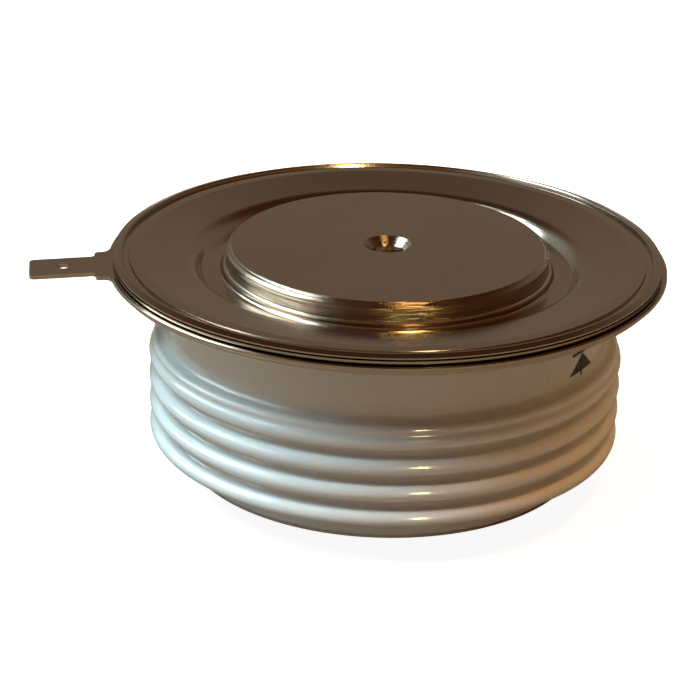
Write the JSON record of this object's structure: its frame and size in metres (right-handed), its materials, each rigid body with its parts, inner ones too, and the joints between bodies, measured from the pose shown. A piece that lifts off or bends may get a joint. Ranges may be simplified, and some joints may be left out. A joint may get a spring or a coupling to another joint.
{
  "type": "thyristor",
  "caption": "Capsule thyristor: pole piece with a locating hole, thin welded flange with a side tab, and a ribbed ceramic ring round the wafer stack.",
  "frame": {"origin": "centre of the anode pole's lower face, at the mouth of its locating hole", "axes": "+Z along the axis from the anode pole to the cathode pole; the cathode tab points along -X and the gate terminal along +Y"},
  "size_m": [0.0678, 0.0635, 0.026],
  "materials": {
    "pole_nickel": "nickel plated copper, lapped faces",
    "flange_nickel": "nickel plated sheet, satin",
    "braze_metal": "bright braze",
    "white_ceramic": "white alumina, clear glaze",
    "molybdenum": "ground",
    "silicon": "polished",
    "silver": "bright foil",
    "edge_rubber": "cast silicone rubber",
    "inner_plastic": "moulded fluoropolymer",
    "gate_metal": "nickel plated",
    "spring_steel": "drawn wire"
  },
  "bodies": {
    "root": {"cathode_pole": "pole_nickel", "anode_pole": "pole_nickel", "cathode_flange": "flange_nickel", "weld_flange": "flange_nickel", "tab_ring": "flange_nickel", "housing_flange": "flange_nickel", "anode_flange": "flange_nickel", "pole_braze_ring": "braze_metal", "flange_braze_ring": "braze_metal", "ceramic_housing": "white_ceramic", "anode_disc": "molybdenum", "cathode_disc": "molybdenum", "silicon_wafer": "silicon", "silver_foil": "silver", "edge_seal": "edge_rubber", "centring_ring": "inner_plastic", "gate_insulator": "inner_plastic", "wire_sleeve": "inner_plastic", "gate_pin": "gate_metal", "gate_wire": "gate_metal", "gate_tube": "gate_metal", "gate_tube_collar": "gate_metal", "gate_terminal": "gate_metal", "gate_spring": "spring_steel"}
  },
  "joints": []
}
